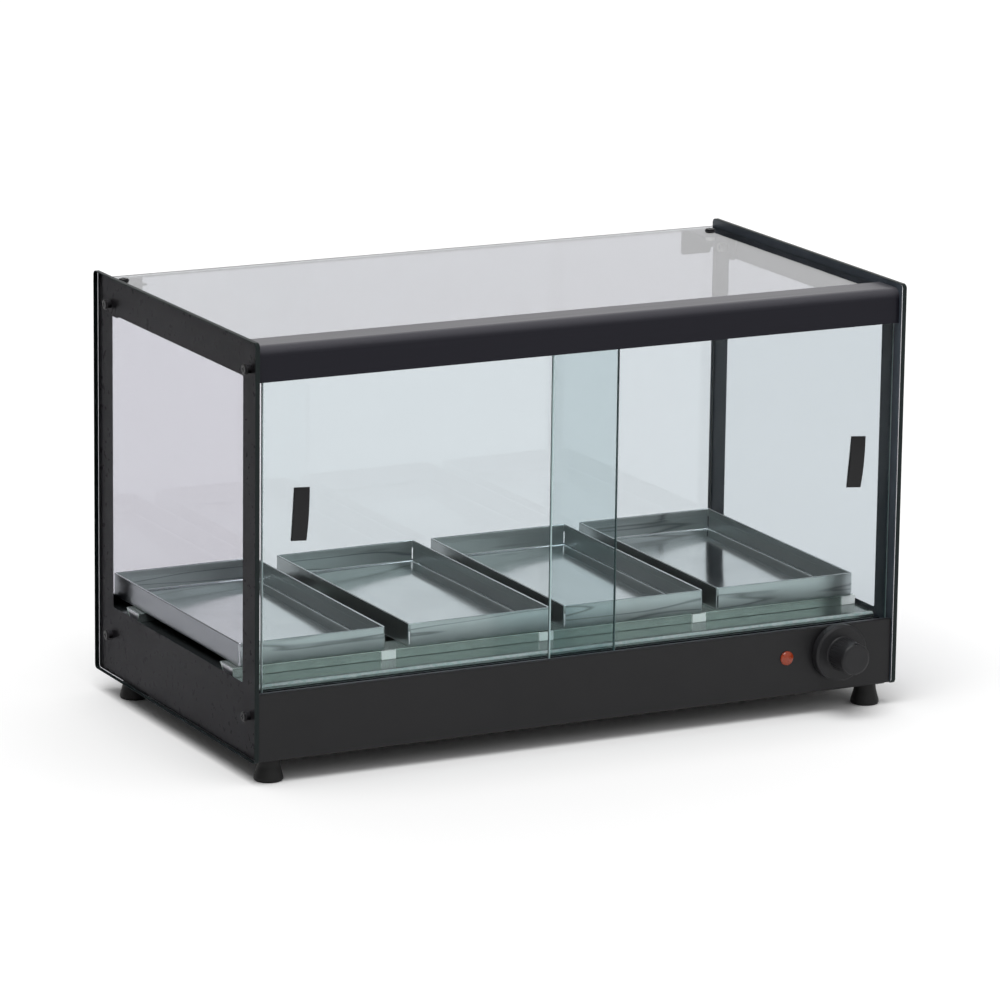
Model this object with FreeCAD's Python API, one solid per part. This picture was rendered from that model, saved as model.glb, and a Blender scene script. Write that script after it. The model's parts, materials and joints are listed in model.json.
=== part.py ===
import FreeCAD, Part
import math
import os

from FreeCAD import Rotation, Vector

# Hot food display case. Millimetres, +X to the operator's right, +Y away from
# the operator, +Z up. The origin is under the middle of the case, on the table.
# "depth" is the distance behind the front edges of the two side glasses.

# ---- driving dimensions: whole case ----------------------------------------------------
CASE_WIDTH = 600.0          # over the outer faces of the side glasses
CASE_DEPTH = 328.0          # front edge to rear edge of a side glass
SIDE_HEIGHT = 346.5         # height of a side glass
FOOT_HEIGHT = 18.7
KNOB_PROUD = 30.0           # knob face in front of the side glasses
GLAND_PROUD = 11.0          # cable gland behind the side glasses
GLASS = 4.0                 # every pane is 4 mm tempered glass
SHEET = 0.8                 # steel sheet of the base, deck and trays
GAP = 0.3                   # air between parts that move past each other

FRONT = -(CASE_DEPTH + GLAND_PROUD - KNOB_PROUD) / 2    # y of the side glasses' front edge
SIDE_BOTTOM = FOOT_HEIGHT + 0.3
SIDE_TOP = SIDE_BOTTOM + SIDE_HEIGHT
OUTER_X = CASE_WIDTH / 2
INNER_X = OUTER_X - GLASS
CORNER_RADIUS = 4.0
ARRIS = 0.4                 # ground edge of a pane

# ---- printed border on the inner faces of the side glasses -----------------------------
ENAMEL = 0.15
ENAMEL_MARGIN = 1.1
WINDOW_CORNER = 1.5
WINDOW_DEPTH = (32.5, 296.5)
WINDOW_Z = (79.5, 333.0)
CLEAR_X = INNER_X - ENAMEL  # free half width between the two borders

# ---- side fixings ----------------------------------------------------------------------
FRONT_FIXING = 20.0
REAR_FIXING = 301.0
TOP_FIXING_Z = 341.0
BASE_FIXING_Z = 54.5
FIXINGS = [(FRONT_FIXING, TOP_FIXING_Z), (REAR_FIXING, TOP_FIXING_Z),
           (FRONT_FIXING, BASE_FIXING_Z), (REAR_FIXING, BASE_FIXING_Z)]
GLASS_HOLE = 3.4
BUSH_WALL = 3.3
BUSH_BORE = 2.1
BUSH_FLANGE = (4.7, 0.4)    # radius, thickness
SCREW_HEAD = (4.2, 1.4)
SCREW_SHANK = 2.0
SCREW_LENGTH = 12.0
INSERT_RADIUS = 4.2
INSERT_LENGTH = 6.0

# ---- base ------------------------------------------------------------------------------
COVER_Z = FOOT_HEIGHT
BASE_BOTTOM = COVER_Z + SHEET
BASE_TOP = 76.0
PANEL_INSET = 3.0           # front and rear panels behind the side glasses' edges
LEDGE_Z = 69.3
HEM_WIDTH = 2.0
RETURN_FLANGE = 24.0
PANEL_HALF = CLEAR_X - 0.4
BEND = 0.9

# ---- sliding doors and their channels --------------------------------------------------
FRONT_TRACK = 10.0          # front face of the right-hand door
REAR_TRACK = 18.5           # front face of the left-hand door
CHANNEL_PLAY = 0.8
RIB = 1.4
RIB_TOPS = (75.3, 73.2, 72.6)    # front, middle and rear ribs of the lower track
DOOR_WIDTH = 322.5
DOOR_Z = (71.5, 336.2)
RIGHT_DOOR_END = 294.5
LEFT_DOOR_END = -285.1
PULL = (14.0, 44.0, 2.5)    # width, length, height at the crown
PULL_EDGE = 0.9
LEFT_PULL = (-252.0, 218.3, 3.5)     # x, z, lean in degrees
RIGHT_PULL = (260.5, 214.5, 4.7)

# ---- top rail and upper panes ----------------------------------------------------------
RAIL_FRONT = 5.0
RAIL_BACK = 38.0
RAIL_Z = (332.0, 361.0)
RAIL_ROUND = 8.0
RAIL_WALL = 1.4
CHANNEL_TOP = 338.0
BOSS_RADIUS = 3.4
TOP_GLASS_Z = (355.0, 359.0)
TOP_GLASS_DEPTH = (31.0, 326.0)
STRIP_WALL = 0.7
BACK_GLASS_DEPTH = 319.1
BACK_GLASS_Z = (77.5, 354.5)
CHANNEL = (1.2, 8.0)        # wall and height of the channel under the back glass
CHANNEL_FIT = 0.2

# ---- rear corner brackets --------------------------------------------------------------
BRACKET_SHEET = 1.5
BRACKET_REACH = 259.5       # inner end of the back leg
BACK_LEG_BOTTOM = 333.6
SIDE_LEG_BOTTOM = 331.3
BRACKET_FRONT = 283.5
TOP_SCREW = (281.5, 306.0)  # x, depth
PAD = 0.5
FILM = 0.03                 # adhesive or sealant left between glass and what touches it

# ---- deck, tray supports and trays -----------------------------------------------------
DECK_FRONT = 29.6
DECK_REAR = 316.4
DECK_HALF = 293.8
DECK_LIP_RADIUS = 4.1
DECK_SKIRT = 10.0
SUPPORT_DEPTHS = (60.0, 252.0)
SUPPORT_BASE = 18.0
SUPPORT_TOP = 25.0
SUPPORT_HEIGHT = 8.0
SUPPORT_HALF = 292.5
LUGS = (-152.0, -6.0, 140.0, 286.0)     # x of the stiffening lugs on the front support
LUG_WIDTH = 13.0
LUG_DEPTH = 1.0
TRAY = (132.0, 257.0, 20.0)
TRAY_HEM = 6.5
TRAY_SLIT = 0.9
TRAY_BEND = 1.2
# x of the middle, depth of the front edge, turn in degrees
TRAY_PLACES = [(-221.0, 59.6, 0.0), (-68.5, 59.7, 0.35), (77.7, 58.6, -0.55), (223.7, 58.0, -0.5)]
TRAY_Z = BASE_TOP + SUPPORT_HEIGHT + GAP

# ---- controls --------------------------------------------------------------------------
KNOB_X = 243.0
KNOB_Z = 53.0
SKIRT_RADIUS = 24.5
GRIP_RADIUS = (14.3, 13.6)
GRIP_FLUTES = 26
SHAFT_RADIUS = 3.0
SOCKET_DEPTH = 24.0         # shaft socket in the knob
PILOT_X = 194.0
PILOT_Z = 52.2
PILOT_RADIUS = 6.1
PILOT_HOLE = 5.2
THERMOSTAT_BACK = 25.0

# ---- feet ------------------------------------------------------------------------------
FOOT_X = 280.0
FOOT_DEPTHS = (17.0, 290.0)
FOOT_NUT_Z = (BASE_BOTTOM + SHEET, BASE_BOTTOM)
FOOT_BASE = 12.2
FOOT_NECK = 8.8
FOOT_WELL = (5.6, 11.0)     # radius, height
FOOT_HOLE = 2.8
FOOT_SCREW = ((4.6, 2.6), 2.5, 16.0)     # head, shank radius, length

# ---- heater ----------------------------------------------------------------------------
ELEMENT_RADIUS = 3.5
ELEMENT_Z = 66.0
LEG_DEPTHS = (95.0, 145.0, 195.0, 245.0)
LEG_LEFT = -240.0
LEG_RIGHT = 110.0
ELEMENT_END = 188.0
CLAMP_X = (-190.0, 60.0)
STUD_DEPTHS = (82.0, 170.0, 258.0)
REFLECTOR_Z = 50.0
REFLECTOR = ((-275.0, 150.0), (70.0, 270.0))     # x range, depth range
REFLECTOR_WALL = 0.6
GLAND_X = 200.0
GLAND_Z = 45.0
CORD_BORE = 3.75


def at(x, depth, z):
    return Vector(x, FRONT + depth, z)


def box(x_range, depth_range, z_range):
    (x0, x1), (d0, d1), (z0, z1) = x_range, depth_range, z_range
    return Part.makeBox(x1 - x0, d1 - d0, z1 - z0, at(x0, d0, z0))


def span(side, low, high):
    """X range from low to high on the right-hand side, mirrored when side is -1."""
    return tuple(sorted((side * low, side * high)))


def runs_along(edge, direction):
    run = edge.Vertexes[-1].Point - edge.Vertexes[0].Point
    return run.Length > 0 and run.cross(direction).Length < 1e-6 * run.Length


def along(shape, direction):
    """Straight edges of a shape that run along a direction."""
    return [edge for edge in shape.Edges if runs_along(edge, direction)]


def cylinder(radius, start, direction, length):
    return Part.makeCylinder(radius, length, start, direction)


def tube(outer, inner, start, direction, length):
    return cylinder(outer, start, direction, length).cut(cylinder(inner, start, direction, length))


def hex_prism(across_flats, start, direction, height, bore):
    corners = []
    for k in range(7):
        angle = math.radians(60 * k + 30)
        corners.append(Vector(math.cos(angle), math.sin(angle), 0) * across_flats / math.sqrt(3))
    nut = Part.Face(Part.makePolygon(corners)).extrude(Vector(0, 0, height))
    nut = nut.cut(Part.makeCylinder(bore, height))
    nut.Placement = FreeCAD.Placement(start, Rotation(Vector(0, 0, 1), direction))
    return nut


def revolved(profile, start, direction):
    """Solid of revolution from (radius, height) points, its axis along direction."""
    points = [Vector(r, 0, h) for r, h in profile]
    points.append(points[0])
    solid = Part.Face(Part.makePolygon(points)).revolve(Vector(0, 0, 0), Vector(0, 0, 1), 360)
    solid.Placement = FreeCAD.Placement(start, Rotation(Vector(0, 0, 1), direction))
    return solid


def screw(start, direction, head, shank_radius, length):
    """Domed cross-head screw: start is under the head, direction is the way it enters."""
    head_radius, head_height = head
    body = Part.makeCylinder(head_radius, head_height)
    body = body.makeFillet(head_height * 0.7, [e for e in body.Edges if e.BoundBox.ZMin > head_height / 2])
    slot = (head_radius * 1.1, head_radius * 0.3, head_height * 0.5)
    for size in ((slot[0], slot[1]), (slot[1], slot[0])):
        corner = Vector(-size[0] / 2, -size[1] / 2, head_height - slot[2])
        body = body.cut(Part.makeBox(size[0], size[1], slot[2] * 2, corner))
    body = body.fuse(Part.makeCylinder(shank_radius, length, Vector(0, 0, -length))).removeSplitter()
    body.Placement = FreeCAD.Placement(start, Rotation(Vector(0, 0, 1), direction * -1))
    return body


def rounded_path(points, radius):
    """Wire through points in space whose corners are tangent arcs of one radius."""
    edges = []
    here = points[0]
    for before, corner, after in zip(points, points[1:], points[2:]):
        arrive = (corner - before).normalize()
        leave = (after - corner).normalize()
        turn = arrive.getAngle(leave)
        trim = radius * math.tan(turn / 2)
        centre = corner + (leave - arrive).normalize() * (radius / math.cos(turn / 2))
        first = corner - arrive * trim
        last = corner + leave * trim
        middle = centre + (corner - centre).normalize() * radius
        edges.append(Part.LineSegment(here, first).toShape())
        edges.append(Part.Arc(first, middle, last).toShape())
        here = last
    edges.append(Part.LineSegment(here, points[-1]).toShape())
    return Part.Wire(edges)


def swept_tube(points, bend, radius):
    path = rounded_path(points, bend)
    section = Part.Wire(Part.makeCircle(radius, points[0], points[1] - points[0]))
    return path.makePipeShell([section], True, False)


def sheet_profile(points, bends):
    """Face of a folded sheet. Points (depth, z) run along its middle, one bend radius per corner."""
    half = SHEET / 2
    sides = []
    outline = []
    for a, b in zip(points, points[1:]):
        run = Vector(b[0] - a[0], b[1] - a[1], 0).normalize()
        normal = Vector(-run.y, run.x, 0)
        outline.append((Vector(a[0], a[1], 0), Vector(b[0], b[1], 0), run, normal))
    for side in (1, -1):
        edges = []
        here = outline[0][0] + outline[0][3] * half * side
        for arriving, leaving, bend in zip(outline, outline[1:], bends):
            _, corner, run, normal = arriving
            _, _, next_run, next_normal = leaving
            turn = run.getAngle(next_run)
            hand = 1 if run.cross(next_run).z > 0 else -1
            trim = bend * math.tan(turn / 2)
            centre = corner - run * trim + normal * bend * hand
            radius = bend - half * side * hand
            first = corner - run * trim + normal * half * side
            last = corner + next_run * trim + next_normal * half * side
            middle = centre + (corner - centre).normalize() * radius
            edges.append(Part.LineSegment(here, first))
            edges.append(Part.Arc(first, middle, last))
            here = last
        edges.append(Part.LineSegment(here, outline[-1][1] + outline[-1][3] * half * side))
        sides.append(edges)
    left, right = sides
    caps = [Part.LineSegment(left[0].StartPoint, right[0].StartPoint),
            Part.LineSegment(left[-1].EndPoint, right[-1].EndPoint)]
    edges = [part.toShape() for part in left + right + caps]
    return Part.Face(Part.Wire(Part.__sortEdges__(edges)))


def extruded(face, half_width):
    """Extrude a (depth, z) face across the case from -half_width to half_width."""
    frame = FreeCAD.Matrix(0, 0, 1, -half_width,
                           1, 0, 0, FRONT,
                           0, 1, 0, 0,
                           0, 0, 0, 1)
    placed = face.transformGeometry(frame)
    return placed.extrude(Vector(2 * half_width, 0, 0))


def folded(points, bends, half_width):
    return extruded(sheet_profile(points, bends), half_width)


def polygon_face(points):
    corners = [Vector(d, z, 0) for d, z in points]
    return Part.Face(Part.makePolygon(corners + [corners[0]]))


def pane(x_range, depth_range, z_range, thin):
    """Glass pane with a ground arris round both faces; thin is the axis through the glass."""
    glass = box(x_range, depth_range, z_range)
    edges = [edge for edge in glass.Edges if not runs_along(edge, thin)]
    return glass.makeChamfer(ARRIS, edges)


def save(name, *solids):
    shape = solids[0] if len(solids) == 1 else Part.makeCompound(list(solids))
    shape.exportStep(f"parts/{name}.step")


X_AXIS = Vector(1, 0, 0)
Y_AXIS = Vector(0, 1, 0)
Z_AXIS = Vector(0, 0, 1)


# ---- glass shell -----------------------------------------------------------------------
def side_glass(side):
    glass = box(span(side, INNER_X, OUTER_X), (0, CASE_DEPTH), (SIDE_BOTTOM, SIDE_TOP))
    glass = glass.makeFillet(CORNER_RADIUS, along(glass, X_AXIS))
    faces = [f for f in glass.Faces if abs(f.normalAt(0, 0).x) > 0.99]
    glass = glass.makeChamfer(ARRIS, [e for f in faces for e in f.Edges])
    for depth, z in FIXINGS:
        glass = glass.cut(cylinder(GLASS_HOLE, at(-OUTER_X - 1, depth, z), X_AXIS, CASE_WIDTH + 2))
    return glass


def enamel_border(side):
    margin = ENAMEL_MARGIN
    x_range = span(side, CLEAR_X, INNER_X)
    border = box(x_range, (margin, CASE_DEPTH - margin), (SIDE_BOTTOM + margin, SIDE_TOP - margin))
    border = border.makeFillet(CORNER_RADIUS - margin, along(border, X_AXIS))
    window = box(x_range, WINDOW_DEPTH, WINDOW_Z)
    border = border.cut(window.makeFillet(WINDOW_CORNER, along(window, X_AXIS)))
    for depth, z in FIXINGS:
        border = border.cut(cylinder(GLASS_HOLE, at(-OUTER_X, depth, z), X_AXIS, CASE_WIDTH))
    return border


def glass_shell():
    for name, side in (("left", -1), ("right", 1)):
        save(f"{name}_side_glass", side_glass(side))
        save(f"{name}_enamel_border", enamel_border(side))
    top = pane((-CLEAR_X + 0.4, CLEAR_X - 0.4), TOP_GLASS_DEPTH, TOP_GLASS_Z, Z_AXIS)
    x, depth = TOP_SCREW
    for side in (-1, 1):
        top = top.cut(cylinder(GLASS_HOLE, at(side * x, depth, TOP_GLASS_Z[0] - 1), Z_AXIS, GLASS + 2))
    save("top_glass", top)
    back_depth = (BACK_GLASS_DEPTH, BACK_GLASS_DEPTH + GLASS)
    save("back_glass", pane((-CLEAR_X + 0.5, CLEAR_X - 0.5), back_depth, BACK_GLASS_Z, Y_AXIS))


# ---- fixings through the glass ---------------------------------------------------------
def glass_bush(start, direction, length):
    flange_radius, flange = BUSH_FLANGE
    profile = [(BUSH_BORE, -flange), (flange_radius, -flange), (flange_radius, 0),
               (BUSH_WALL, 0), (BUSH_WALL, length), (BUSH_BORE, length)]
    return revolved(profile, start, direction)


def glass_fixings():
    screws = []
    bushes = []
    x, top_depth = TOP_SCREW
    for side in (-1, 1):
        inward = Vector(-side, 0, 0)
        places = [(at(side * OUTER_X, depth, z), inward, GLASS + ENAMEL) for depth, z in FIXINGS]
        places.append((at(side * x, top_depth, TOP_GLASS_Z[1]), Vector(0, 0, -1), GLASS))
        for surface, way_in, length in places:
            bushes.append(glass_bush(surface, way_in, length))
            seat = surface - way_in * BUSH_FLANGE[1]
            screws.append(screw(seat, way_in, SCREW_HEAD, SCREW_SHANK, SCREW_LENGTH))
    save("glass_screws", *screws)
    save("glass_bushes", *bushes)


# ---- top front rail --------------------------------------------------------------------
def rail_outline():
    front, back = RAIL_FRONT, RAIL_BACK
    bottom, top = RAIL_Z
    shoulder = top - RAIL_ROUND
    play = CHANNEL_PLAY
    channels = [(track - play, track + GLASS + play) for track in (REAR_TRACK, FRONT_TRACK)]
    rear_wall = channels[0][1] + RAIL_WALL
    slot_back = TOP_GLASS_DEPTH[0] - STRIP_WALL - 0.4
    slot = (TOP_GLASS_Z[0] - STRIP_WALL - FILM, TOP_GLASS_Z[1] + STRIP_WALL + FILM)
    points = [(front + RAIL_ROUND, top), (back, top), (back, slot[1]), (slot_back, slot[1]),
              (slot_back, slot[0]), (back, slot[0]), (back, slot[0] - RAIL_WALL),
              (rear_wall, slot[0] - RAIL_WALL), (rear_wall, bottom)]
    for low, high in channels:
        points += [(high, bottom), (high, CHANNEL_TOP), (low, CHANNEL_TOP), (low, bottom)]
    points += [(front, bottom), (front, shoulder)]
    corners = [Vector(d, z, 0) for d, z in points]
    bow = RAIL_ROUND * (1 - math.sqrt(0.5))
    middle = Vector(front + bow, top - bow, 0)
    edges = [Part.LineSegment(a, b).toShape() for a, b in zip(corners, corners[1:])]
    edges.append(Part.Arc(corners[-1], middle, corners[0]).toShape())
    return Part.Face(Part.Wire(edges)), rear_wall, slot_back


def rail():
    outline, rear_wall, slot_back = rail_outline()
    wall = RAIL_WALL
    top = RAIL_Z[1] - wall
    left = RAIL_FRONT + wall + 0.4
    step = TOP_GLASS_Z[0] - STRIP_WALL
    floor = CHANNEL_TOP + wall
    radius = RAIL_ROUND - wall - 0.4
    chamber = polygon_face([(left, floor), (left, top - radius), (left + radius, top),
                            (slot_back - wall, top), (slot_back - wall, step), (rear_wall - wall, step),
                            (rear_wall - wall, floor)])
    boss = Part.Face(Part.Wire(Part.makeCircle(BOSS_RADIUS, Vector(FRONT_FIXING, TOP_FIXING_Z, 0))))
    bore = Part.Face(Part.Wire(Part.makeCircle(BUSH_BORE, Vector(FRONT_FIXING, TOP_FIXING_Z, 0))))
    section = outline.cut(chamber.cut(boss)).cut(bore)
    return extruded(section.Faces[0], CLEAR_X)


def glazing_strip():
    wall = STRIP_WALL
    inner = TOP_GLASS_DEPTH[0] - wall
    low, high = TOP_GLASS_Z[0] - FILM, TOP_GLASS_Z[1] + FILM
    profile = polygon_face([(inner, low - wall), (RAIL_BACK, low - wall), (RAIL_BACK, low),
                            (inner + wall, low), (inner + wall, high), (RAIL_BACK, high),
                            (RAIL_BACK, high + wall), (inner, high + wall)])
    return extruded(profile, CLEAR_X - 0.5)


# ---- lower door track ------------------------------------------------------------------
def door_track():
    floor = LEDGE_Z + SHEET / 2
    base = floor + RIB
    play = CHANNEL_PLAY
    front, middle, rear = RIB_TOPS
    channels = [(track - play, track + GLASS + play) for track in (FRONT_TRACK, REAR_TRACK)]
    start = channels[0][0] - RIB
    end = channels[1][1] + RIB
    points = [(start, floor), (end, floor), (end, rear), (channels[1][1], rear), (channels[1][1], base),
              (channels[1][0], base), (channels[1][0], middle), (channels[0][1], middle),
              (channels[0][1], base), (channels[0][0], base), (channels[0][0], front), (start, front)]
    return extruded(polygon_face(points), CLEAR_X - 0.2)


# ---- rear corner brackets --------------------------------------------------------------
def corner_bracket(side):
    """Side, back and top legs folded from one sheet; the free lower corners are rounded."""
    sheet = BRACKET_SHEET
    top = TOP_GLASS_Z[0] - 0.2
    back = BACK_GLASS_DEPTH - PAD
    outer = CLEAR_X
    side_leg = box(span(side, outer - sheet, outer), (BRACKET_FRONT, back), (SIDE_LEG_BOTTOM, top))
    low_edges = [e for e in along(side_leg, X_AXIS) if e.BoundBox.ZMax < SIDE_LEG_BOTTOM + 1]
    side_leg = side_leg.makeFillet(5.0, low_edges)
    back_leg = box(span(side, BRACKET_REACH, outer - 7.0), (back - sheet, back), (BACK_LEG_BOTTOM, top))
    low_edges = [e for e in along(back_leg, Y_AXIS) if e.BoundBox.ZMax < BACK_LEG_BOTTOM + 1]
    back_leg = back_leg.makeFillet(2.5, low_edges)
    root = box(span(side, outer - 8.0, outer), (back - sheet, back), (BACK_LEG_BOTTOM + 5.0, top))
    top_leg = box(span(side, BRACKET_REACH + 8, outer), (BRACKET_FRONT + 6, back), (top - sheet, top))
    bracket = side_leg.fuse([back_leg, root, top_leg]).removeSplitter()
    x, depth = TOP_SCREW
    holes = [cylinder(BUSH_BORE, at(side * x, depth, top - 5), Z_AXIS, 10),
             cylinder(BUSH_BORE, at(side * outer - 5, REAR_FIXING, TOP_FIXING_Z), X_AXIS, 10)]
    return bracket.cut(Part.makeCompound(holes))


def brackets():
    sheet = BRACKET_SHEET
    inserts = []
    pads = []
    x, depth = TOP_SCREW
    for name, side in (("left", -1), ("right", 1)):
        save(f"{name}_corner_bracket", corner_bracket(side))
        under = at(side * x, depth, TOP_GLASS_Z[0] - 0.2 - sheet)
        inserts.append(tube(INSERT_RADIUS, BUSH_BORE, under, Vector(0, 0, -1), INSERT_LENGTH))
        inside = at(side * (CLEAR_X - sheet), REAR_FIXING, TOP_FIXING_Z)
        inserts.append(tube(INSERT_RADIUS, BUSH_BORE, inside, Vector(-side, 0, 0), INSERT_LENGTH))
        pad_depth = (BACK_GLASS_DEPTH - PAD, BACK_GLASS_DEPTH - FILM)
        pad_z = (BACK_LEG_BOTTOM + 4, TOP_GLASS_Z[0] - 4)
        pads.append(box(span(side, BRACKET_REACH + 4, CLEAR_X - 10), pad_depth, pad_z))
    save("back_glass_pads", *pads)
    return inserts


# ---- base box --------------------------------------------------------------------------
def notch_for_end_plates(panel, depths):
    """Cut a panel's down-turned lip short where the end plates pass."""
    notches = [box(span(side, PANEL_HALF - 2, PANEL_HALF + 1), depths, (LEDGE_Z - 12, LEDGE_Z - SHEET))
               for side in (-1, 1)]
    return panel.cut(Part.makeCompound(notches))


def front_panel():
    face = PANEL_INSET + SHEET / 2
    foot = BASE_BOTTOM + SHEET / 2
    top = BASE_TOP - SHEET / 2
    ledge_end = DECK_FRONT - 1.2
    points = [(face + RETURN_FLANGE, foot), (face, foot), (face, top), (face + HEM_WIDTH, top),
              (face + HEM_WIDTH, LEDGE_Z), (ledge_end, LEDGE_Z), (ledge_end, LEDGE_Z - 9)]
    panel = folded(points, [BEND] * 5, PANEL_HALF)
    for x, z in ((KNOB_X, KNOB_Z), (PILOT_X, PILOT_Z)):
        panel = panel.cut(cylinder(PILOT_HOLE, at(x, PANEL_INSET - 1, z), Y_AXIS, SHEET + 1.5))
    return notch_for_end_plates(panel, (ledge_end - 2, ledge_end + 2))


def rear_panel():
    face = CASE_DEPTH - PANEL_INSET - SHEET / 2
    foot = BASE_BOTTOM + SHEET / 2
    top = BASE_TOP - SHEET / 2
    ledge_end = DECK_REAR + 1.4
    points = [(face - RETURN_FLANGE, foot), (face, foot), (face, top),
              (ledge_end, top), (ledge_end, top - 9)]
    panel = folded(points, [BEND] * 3, PANEL_HALF)
    panel = panel.cut(cylinder(6.2, at(GLAND_X, face - 2, GLAND_Z), Y_AXIS, 4))
    return notch_for_end_plates(panel, (ledge_end - 2, ledge_end + 2))


def end_plate(side):
    wall = 1.0
    outer = CLEAR_X - 0.2
    low, high = BASE_BOTTOM + SHEET + BEND + 0.3, LEDGE_Z - SHEET / 2 - 0.4
    depths = (PANEL_INSET + SHEET, CASE_DEPTH - PANEL_INSET - SHEET)
    plate = box(span(side, outer - wall, outer), depths, (low, high))
    flange = 11.0
    plate = plate.fuse([
        box(span(side, outer - flange, outer), (depths[0], depths[0] + wall), (low, high)),
        box(span(side, outer - flange, outer), (depths[1] - wall, depths[1]), (low, high)),
        box(span(side, outer - flange, outer), (DECK_FRONT + 4, DECK_REAR - 4), (high - wall, high)),
    ]).removeSplitter()
    for depth in (FRONT_FIXING, REAR_FIXING):
        start = at(side * (outer - wall - 2), depth, BASE_FIXING_Z)
        plate = plate.cut(cylinder(INSERT_RADIUS + 0.05, start, Vector(side, 0, 0), wall + 4))
    return plate


def bottom_cover():
    half = PANEL_HALF - 2
    cover = box((-half, half), (PANEL_INSET + 2, CASE_DEPTH - PANEL_INSET - 2), (COVER_Z, BASE_BOTTOM))
    cover = cover.makeFillet(3.0, along(cover, Z_AXIS))
    cuts = []
    for group_x in (-150.0, 100.0):
        for k in range(8):
            x = group_x + 9 * (k - 3.5)
            slot = box((x - 2, x + 2), (140, 190), (COVER_Z - 1, BASE_BOTTOM + 1))
            cuts.append(slot.makeFillet(1.9, along(slot, Z_AXIS)))
    for x in (-FOOT_X, FOOT_X):
        for depth in FOOT_DEPTHS:
            cuts.append(cylinder(2.7, at(x, depth, COVER_Z - 1), Z_AXIS, 3))
    for place in cover_screw_places():
        cuts.append(cylinder(1.7, place + Vector(0, 0, -1), Z_AXIS, 3))
    cuts.append(cylinder(2.2, EARTH_STUD + Vector(0, 0, -2), Z_AXIS, 4))
    return cover.cut(Part.makeCompound(cuts))


def cover_screw_places():
    depths = (PANEL_INSET + 10, CASE_DEPTH - PANEL_INSET - 10)
    return [at(x, depth, COVER_Z) for x in (-230.0, 0.0, 230.0) for depth in depths]


def base_box():
    screw_holes = [cylinder(1.7, p, Z_AXIS, 3) for p in cover_screw_places()]
    foot_holes = [cylinder(2.7, at(x, depth, COVER_Z), Z_AXIS, 3)
                  for x in (-FOOT_X, FOOT_X) for depth in FOOT_DEPTHS]
    holes = Part.makeCompound(screw_holes + foot_holes)
    save("front_panel", front_panel().cut(holes))
    save("rear_panel", rear_panel().cut(holes))
    inserts = []
    for name, side in (("left", -1), ("right", 1)):
        save(f"{name}_end_plate", end_plate(side))
        for depth in (FRONT_FIXING, REAR_FIXING):
            start = at(side * (CLEAR_X - 0.2), depth, BASE_FIXING_Z)
            inserts.append(tube(INSERT_RADIUS, BUSH_BORE, start, Vector(-side, 0, 0), INSERT_LENGTH + 3))
    save("bottom_cover", bottom_cover())
    up = Vector(0, 0, 1)
    save("cover_screws", *[screw(p, up, (3.2, 1.7), 1.6, 5.0) for p in cover_screw_places()])
    wall, depth = CHANNEL
    front, rear = BACK_GLASS_DEPTH - CHANNEL_FIT, BACK_GLASS_DEPTH + GLASS + CHANNEL_FIT
    low, high = BASE_TOP, BASE_TOP + depth
    channel = polygon_face([(front - wall, low), (rear + wall, low), (rear + wall, high), (rear, high),
                            (rear, low + wall), (front, low + wall), (front, high), (front - wall, high)])
    save("back_glass_channel", extruded(channel, PANEL_HALF))
    return inserts


# ---- deck and tray supports ------------------------------------------------------------
def deck():
    middle = BASE_TOP - SHEET / 2
    lip = BASE_TOP - DECK_SKIRT
    points = [(DECK_FRONT, lip), (DECK_FRONT, middle), (DECK_REAR, middle), (DECK_REAR, lip)]
    sheet = folded(points, [DECK_LIP_RADIUS, 1.5], DECK_HALF)
    foot = LEDGE_Z - SHEET / 2 - 0.4
    skirts = [box(span(side, DECK_HALF - SHEET, DECK_HALF), (DECK_FRONT + 5, DECK_REAR - 5), (foot, middle))
              for side in (-1, 1)]
    return sheet.fuse(skirts).removeSplitter()


def tray_support(front, lugs):
    low, high = BASE_TOP, BASE_TOP + SUPPORT_HEIGHT
    outer = polygon_face([(front, low), (front + SUPPORT_BASE, low),
                          (front + SUPPORT_TOP, high), (front, high)])
    wall = SHEET
    lean = (SUPPORT_TOP - SUPPORT_BASE) / SUPPORT_HEIGHT
    inner_low, inner_high = low + wall, high - wall
    slant = math.hypot(1, lean) * wall
    rear_low = front + SUPPORT_BASE + lean * wall - slant
    rear_high = front + SUPPORT_TOP - lean * wall - slant
    inner = polygon_face([(front + wall, inner_low), (rear_low, inner_low), (rear_high, inner_high),
                          (front + wall, inner_high)])
    support = extruded(outer.cut(inner).Faces[0], SUPPORT_HALF)
    if lugs:
        half = LUG_WIDTH / 2
        support = support.fuse([box((x - half, x + half), (front - LUG_DEPTH, front + wall), (low, high))
                                for x in lugs])
    return support


def tray(x, front, turn):
    """Sheet pan with hemmed rims, folded from one blank with a slit at each corner."""
    width, length, height = TRAY
    half = width / 2
    back = front + length
    wall = SHEET
    hem = 2 * SHEET
    rim = TRAY_Z + height
    below_hem = rim - TRAY_HEM
    pan = box((-half, half), (front, back), (TRAY_Z, rim))
    pan = pan.makeFillet(TRAY_BEND, [edge for edge in pan.Edges if edge.BoundBox.ZMax < TRAY_Z + 0.1])
    inside = box((wall - half, half - wall), (front + wall, back - wall), (TRAY_Z + wall, below_hem))
    mouth = box((hem - half, half - hem), (front + hem, back - hem), (below_hem - 1, rim + 1))
    pan = pan.cut(inside).cut(mouth)
    slit = TRAY_SLIT
    for side in (-1, 1):
        for end in (front, back - slit):
            pan = pan.cut(box(span(side, half - slit, half), (end, end + slit),
                              (TRAY_Z + TRAY_BEND + wall, below_hem)))
    pan.translate(Vector(x, 0, 0))
    pan.rotate(at(x, front + length / 2, 0), Z_AXIS, turn)
    return pan


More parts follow.
